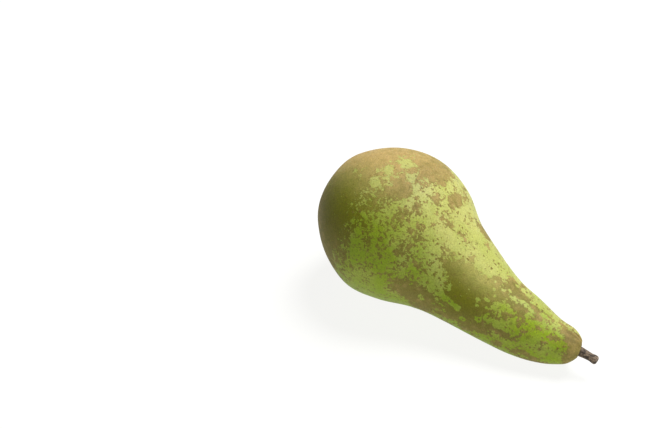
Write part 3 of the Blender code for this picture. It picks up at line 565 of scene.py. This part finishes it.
# Dry woody stalk: grey-brown bark with dark blotches and fine lengthwise fibres, dull all over; the cut end
# is paler.
def stemMaterial():
    material, tree = startMaterial("dryWoodyStalk")
    place = addNode(tree, "ShaderNodeTexCoord", {}, "Object")
    cut = addNode(tree, "ShaderNodeAttribute", {}, "Fac", attribute_name="cutEnd")
    along = addNode(tree, "ShaderNodeMapping", {"Vector": place, "Scale": (stem["fibreStretch"], 1.0, 1.0)})
    fibres = addNode(tree, "ShaderNodeTexNoise", {
        "Vector": along, "Scale": 1000 / stem["fibreWidth"], "Detail": 4.0, "Roughness": 0.6})
    blotches = addNode(tree, "ShaderNodeTexNoise", {
        "Vector": place, "Scale": 1000 / stem["blotchSize"],
        "Detail": 4.0, "Roughness": 0.6, "Distortion": 0.5})
    darkness, paleness = [
        addNode(tree, "ShaderNodeMapRange", {"Value": noise, "From Min": edge[0], "From Max": edge[1]})
        for noise, edge in ((blotches, stem["blotchEdge"]), (fibres, stem["fibreEdge"]))]
    colour = addNode(tree, "ShaderNodeMix", {
        0: paleness, 6: toLinear(stem["bark"]), 7: toLinear(stem["lightBark"])}, 2, data_type="RGBA")
    colour = addNode(tree, "ShaderNodeMix", {
        0: cut, 6: colour, 7: toLinear(stem["cutWood"])}, 2, data_type="RGBA")
    darkness = addNode(tree, "ShaderNodeMath", {0: darkness, 1: stem["blotchWeight"]}, operation="MULTIPLY")
    colour = addNode(tree, "ShaderNodeMix", {
        0: darkness, 6: colour, 7: toLinear(stem["darkBark"])}, 2, data_type="RGBA")
    height = addNode(tree, "ShaderNodeMath", {0: fibres, 1: stem["fibreHeight"]}, operation="MULTIPLY")
    height = addNode(tree, "ShaderNodeMath", {
        0: blotches, 1: stem["blotchHeight"], 2: height}, operation="MULTIPLY_ADD")
    relief = addNode(tree, "ShaderNodeBump", {"Distance": mm, "Height": height})
    shader = addNode(tree, "ShaderNodeBsdfPrincipled", {
        "Base Color": colour, "Roughness": 0.82, "Normal": relief, "IOR": 1.5})
    addNode(tree, "ShaderNodeOutputMaterial", {"Surface": shader}, None)
    return material


# a tube along the stem's path: the profile's radius + knobs + ridges and lobes that twist along it
def makeStem():
    along, radius, _ = resampled(stem["profile"], stem["rings"])
    angle = np.repeat(np.arange(stem["steps"])[None] * 360 / stem["steps"], stem["rings"], axis=0)
    s = np.repeat(along[:, None], stem["steps"], axis=1)
    ridges = np.cos(np.radians(stem["ridges"] * (angle + stem["ridgeTwist"] * s))
                    + np.sin(s * stem["ridgeSway"]))
    lobes = np.cos(np.radians(stem["lobes"] * angle + stem["lobeTwist"] * s))
    height = stem["ridgeHeight"] * (ridges + stem["lobeShare"] * lobes)
    for at, towards, high in stem["knobs"]:
        height = height + (high * bump(s - at, stem["knobReach"])
                           * bump(turnFrom(angle, towards), stem["knobSpread"]))
    radius = np.maximum(radius, 0)[:, None]
    radius = radius + height * np.tanh(radius / stem["poleEase"]) ** 2
    hop = 0.05  # mm either way, for the direction
    forward = unit(smoothCurve(stem["path"], along + hop) - smoothCurve(stem["path"], along - hop))
    up = unit(np.array([0.0, 0.0, 1.0]) - forward * forward[:, 2:])[:, None]
    side = np.cross(forward[:, None], up)
    turn = np.radians(angle)[..., None]
    rings = (smoothCurve(stem["path"], along)[:, None]
             + radius[..., None] * (np.cos(turn) * up + np.sin(turn) * side))
    piece = makePiece("pearStem", [rings], stemMaterial(), "stem")
    addMeasure(piece, "cutEnd", rise((s - stem["cutFrom"]) / stem["cutFade"]))


# lengths are mm and angles are degrees; places are (outwards from the base, out from the cup's middle)
calyx = {
    "baseAt": 5.0,  # from the blossom end
    "cup": [  # outwards, radius
        (0.0, 0.0), (0.0, 1.6), (0.6, 2.5), (2.4, 2.9), (4.0, 3.0), (4.5, 2.6), (4.3, 2.1), (3.2, 1.6),
        (2.9, 0.0)],
    "cupRings": 60, "cupSteps": 90,
    "frillWaves": [(0.1, 5, 0.0), (0.07, 11, 1.0)], "frillAt": 4.2, "frillReach": 1.0,  # of the cup's lip
    "sepals": 5, "sepalTurn": 18.0, "sepalRoot": (3.5, 1.9), "sepalRings": 40, "sepalSteps": 28,
    "sepalLengths": (4.7, 4.3, 4.8, 4.1, 4.5), "sepalRise": (24, 30, 20, 27, 16),
    "sepalCurl": (0.055, 0.03, 0.05, 0.06, 0.04),  # per mm
    "sepalWidth": 1.3, "sepalSkew": 0.7, "sepalTaper": 0.35, "sepalThickness": 0.16,
    "sepalTrough": 0.22, "troughSharpness": 1.6, "sepalTwist": 0.1, "twistTurns": 9,  # the last in radians
    "filaments": 14, "filamentRoot": (2.9, 1.0), "filamentRings": 14, "filamentSteps": 6, "seed": 4,
    "filamentJitter": (-0.3, 0.3), "filamentLength": (1.6, 2.9), "filamentLean": (-0.2, 0.9),  # drawn between
    "filamentRadius": 0.11, "filamentSway": 0.25, "swayTurns": 5,  # the last in radians
    "filamentKnob": 1.1, "knobAt": 0.9, "knobReach": 0.1,  # in radii, and in shares of its length
    "dried": "#3A2D22", "driedDark": "#17110D", "driedTip": "#6A5640",
    "wrinkle": 0.5, "wrinkleHeight": 0.25, "wrinkleEdge": (0.4, 0.62),
}


# Dried flower remains: brittle near-black papery sepals, wrinkled and dull, a little paler at their tips.
def calyxMaterial():
    material, tree = startMaterial("driedSepals")
    place = addNode(tree, "ShaderNodeTexCoord", {}, "Object")
    tip = addNode(tree, "ShaderNodeAttribute", {}, "Fac", attribute_name="tip")
    wrinkles = addNode(tree, "ShaderNodeTexNoise", {
        "Vector": place, "Scale": 1000 / calyx["wrinkle"],
        "Detail": 4.0, "Roughness": 0.65, "Distortion": 0.8})
    darkness = addNode(tree, "ShaderNodeMapRange", {
        "Value": wrinkles, "From Min": calyx["wrinkleEdge"][0], "From Max": calyx["wrinkleEdge"][1]})
    colour = addNode(tree, "ShaderNodeMix", {
        0: tip, 6: toLinear(calyx["dried"]), 7: toLinear(calyx["driedTip"])}, 2, data_type="RGBA")
    colour = addNode(tree, "ShaderNodeMix", {
        0: darkness, 6: toLinear(calyx["driedDark"]), 7: colour}, 2, data_type="RGBA")
    relief = addNode(tree, "ShaderNodeBump", {"Distance": calyx["wrinkleHeight"] * mm, "Height": wrinkles})
    shader = addNode(tree, "ShaderNodeBsdfPrincipled", {
        "Base Color": colour, "Roughness": 0.85, "Normal": relief, "IOR": 1.5})
    addNode(tree, "ShaderNodeOutputMaterial", {"Surface": shader}, None)
    return material


# a turned cup with a wavy lip
def makeCup(centre, outward, up, across):
    out, radius, _ = resampled(calyx["cup"], calyx["cupRings"])
    turn = np.arange(calyx["cupSteps"])[None] * 2 * np.pi / calyx["cupSteps"]
    lip = bump(out - calyx["frillAt"], calyx["frillReach"])[:, None]
    radius = np.maximum(radius, 0)[:, None]
    radius = radius + waves(turn, calyx["frillWaves"]) * lip * np.tanh(radius)
    return (centre + out[:, None, None] * outward
            + radius[..., None] * (np.cos(turn)[..., None] * up + np.sin(turn)[..., None] * across))


# a sepal, where u runs from root to tip and v round it: a flat tube on a line that rises evenly and curls
# with the square of its length. Its half width is the root of a sine of u, less towards the tip; its height
# is a thickness round it + a trough down its middle + a twist
def makeSepal(index, centre, outward, up, across):
    around = np.radians(360 / calyx["sepals"] * index + calyx["sepalTurn"])
    radial = np.cos(around) * up - np.sin(around) * across
    u = (1 - np.cos(np.linspace(0, np.pi, calyx["sepalRings"]))) / 2
    v = np.arange(calyx["sepalSteps"])[None] * 2 * np.pi / calyx["sepalSteps"]
    length = u * calyx["sepalLengths"][index]
    lean = np.radians(calyx["sepalRise"][index])
    lift = length * np.sin(lean) + calyx["sepalCurl"][index] * length ** 2
    rootOut, rootRadius = calyx["sepalRoot"]
    line = (centre + (rootOut + lift)[:, None] * outward
            + (rootRadius + length * np.cos(lean))[:, None] * radial)
    blade = np.sqrt(np.sin(np.pi * u ** calyx["sepalSkew"])) * (1 - calyx["sepalTaper"] * u)
    half = calyx["sepalWidth"] * blade[:, None]
    trough = calyx["sepalTrough"] * np.abs(np.sin(v)) ** calyx["troughSharpness"] * half
    twist = calyx["sepalTwist"] * np.sin(calyx["twistTurns"] * u + index)[:, None] * np.sin(v)
    thick = calyx["sepalThickness"] * np.sin(np.pi * u)[:, None] ** 0.5 * np.cos(v)
    height = thick + (trough + twist) * np.sign(half)
    rings = ringsAlong(line, np.broadcast_to(outward, line.shape), height, half * np.sin(v))
    return rings, np.repeat(u[:, None] ** 2, calyx["sepalSteps"], axis=1)


# a filament, u and v as on a sepal: a thin tube on a line that leans with the square of u and sways, with a
# knob at its tip
def makeFilament(index, draw, centre, outward, up, across):
    around = 2 * np.pi * (index + draw.uniform(*calyx["filamentJitter"])) / calyx["filaments"]
    radial = np.cos(around) * up + np.sin(around) * across
    u = np.linspace(0, 1, calyx["filamentRings"])[:, None]
    v = np.arange(calyx["filamentSteps"])[None] * 2 * np.pi / calyx["filamentSteps"]
    length = draw.uniform(*calyx["filamentLength"])
    lean = draw.uniform(*calyx["filamentLean"])
    rootOut, rootRadius = calyx["filamentRoot"]
    line = (centre + (rootOut + length * u) * outward + (rootRadius + lean * u ** 2) * radial
            + calyx["filamentSway"] * np.sin(calyx["swayTurns"] * u + index) * np.cross(outward, radial))
    knob = calyx["filamentKnob"] * bump(u - calyx["knobAt"], calyx["knobReach"])
    shape = np.sin(np.pi * u ** 0.8) ** 0.3 + knob
    thick = calyx["filamentRadius"] * shape * (u < 1) * (u > 0)
    rings = ringsAlong(line, np.broadcast_to(radial, line.shape), thick * np.cos(v), thick * np.sin(v))
    return rings, np.repeat(u ** 3, calyx["filamentSteps"], axis=1)


# the cup, its sepals and its filaments, with outwards away from the blossom end, up and across
def makeCalyx():
    centre, forward, up, _ = [part[0] for part in fruitAxisAt(np.array([calyx["baseAt"]]))]
    directions = centre, -forward, up, np.cross(-forward, up)
    cup = makeCup(*directions)
    draw = np.random.default_rng(calyx["seed"])
    parts = [(cup, np.zeros(cup.shape[:2]))]
    parts += [makeSepal(index, *directions) for index in range(calyx["sepals"])]
    parts += [makeFilament(index, draw, *directions) for index in range(calyx["filaments"])]
    tubes, tips = zip(*parts)
    piece = makePiece("pearCalyx", tubes, calyxMaterial(), "calyx")
    addMeasure(piece, "tip", *tips)


studio = {
    "cameraTurn": 38.5, "cameraHeight": 38.0, "cameraDistance": 0.611, "lens": 85.0,  # degrees, metres, mm
    "aim": (0.030, 0.0019, 0.0194), "aside": -0.0541, "above": 0.0236,  # metres
    "keyFrom": (0.12, 0.4, 0.91), "keyDistance": 1.1, "keySize": 0.7, "keyWatts": 24.0,
    "fillFrom": (0.76, -0.61, 0.22), "fillDistance": 0.4, "fillSize": 0.22, "fillWatts": 0.58,
    "worldStrength": 0.03, "worldColour": "#F4F4F2",
    "floorColour": "#5A5A59", "floorLight": "#FFFFFD", "floorGlow": 0.88, "floorUnder": 5e-5,  # metres
    "floorCurve": (2.0, 3.5), "rimHeight": 0.6, "floorRings": 25, "floorSteps": 96,  # metres
}


def makeCamera():
    turn, tilt = np.radians(studio["cameraTurn"]), np.radians(studio["cameraHeight"])
    back = Vector((np.sin(turn) * np.cos(tilt), -np.cos(turn) * np.cos(tilt), np.sin(tilt)))
    right = Vector((np.cos(turn), np.sin(turn), 0))
    up = back.cross(right)
    place = (Vector(studio["aim"]) + studio["cameraDistance"] * back + studio["aside"] * right
             + studio["above"] * up)
    camera = bpy.data.objects.new("camera", bpy.data.cameras.new("camera"))
    camera.data.lens = studio["lens"]
    camera.data.clip_start = 0.01
    camera.matrix_world = Matrix.Translation(place) @ Matrix((right, up, back)).transposed().to_4x4()
    bpy.context.scene.collection.objects.link(camera)
    bpy.context.scene.camera = camera
    bpy.context.scene.view_settings.view_transform = "Standard"  # colours show as they are given


# a round soft box that faces the pear
def makeLight(name):
    lamp = bpy.data.lights.new(name, "AREA")
    lamp.shape, lamp.size, lamp.energy = "DISK", studio[name + "Size"], studio[name + "Watts"]
    away = Vector(studio[name + "From"]).normalized()
    light = bpy.data.objects.new(name, lamp)
    light.matrix_world = (Matrix.Translation(Vector(studio["aim"]) + away * studio[name + "Distance"])
                          @ away.to_track_quat("Z", "Y").to_matrix().to_4x4())
    light.visible_camera = False
    bpy.context.scene.collection.objects.link(light)


# opal acrylic sweep, lit from under it, so shadows on it stay faint: flat, then curving up as a low rim far
# off, height = rim height * smoothstep of the distance out; and a plain white surround
def makeFloor():
    material, tree = startMaterial("opalAcrylicSweep")
    shader = addNode(tree, "ShaderNodeBsdfPrincipled", {
        "Base Color": toLinear(studio["floorColour"]), "Roughness": 0.9,
        "Emission Color": toLinear(studio["floorLight"]), "Emission Strength": studio["floorGlow"]})
    addNode(tree, "ShaderNodeOutputMaterial", {"Surface": shader}, None)
    steps = studio["floorSteps"]
    out, turn = np.meshgrid(np.linspace(*studio["floorCurve"], studio["floorRings"]),
                            np.arange(steps) * 2 * np.pi / steps, indexing="ij")
    share = (out - studio["floorCurve"][0]) / np.ptp(studio["floorCurve"])
    height = studio["rimHeight"] * share ** 2 * (3 - 2 * share) - studio["floorUnder"]
    points = np.stack([out * np.cos(turn), out * np.sin(turn), height], -1).reshape(-1, 3)
    points = np.vstack([[0, 0, -studio["floorUnder"]], points])
    grid = 1 + np.arange(out.size).reshape(out.shape)
    beside = np.roll(grid, -1, axis=1)
    middle = np.stack([np.zeros_like(grid[0]), grid[0], beside[0]], -1)
    faces = np.stack([grid[:-1], grid[1:], beside[1:], beside[:-1]], -1).reshape(-1, 4)
    mesh = bpy.data.meshes.new("floor")
    mesh.from_pydata(points.tolist(), [], middle.tolist() + faces.tolist())
    mesh.materials.append(material)
    floor = bpy.data.objects.new("floor", mesh)
    bpy.context.scene.collection.objects.link(floor)
    world = bpy.data.worlds.new("surround")
    world.use_nodes = True
    world.node_tree.nodes["Background"].inputs["Color"].default_value = toLinear(studio["worldColour"])
    world.node_tree.nodes["Background"].inputs["Strength"].default_value = studio["worldStrength"]
    bpy.context.scene.world = world


makeSkin()
makeStem()
makeCalyx()
makeCamera()
makeLight("key")
makeLight("fill")
makeFloor()
print("camera, lights and floor made")
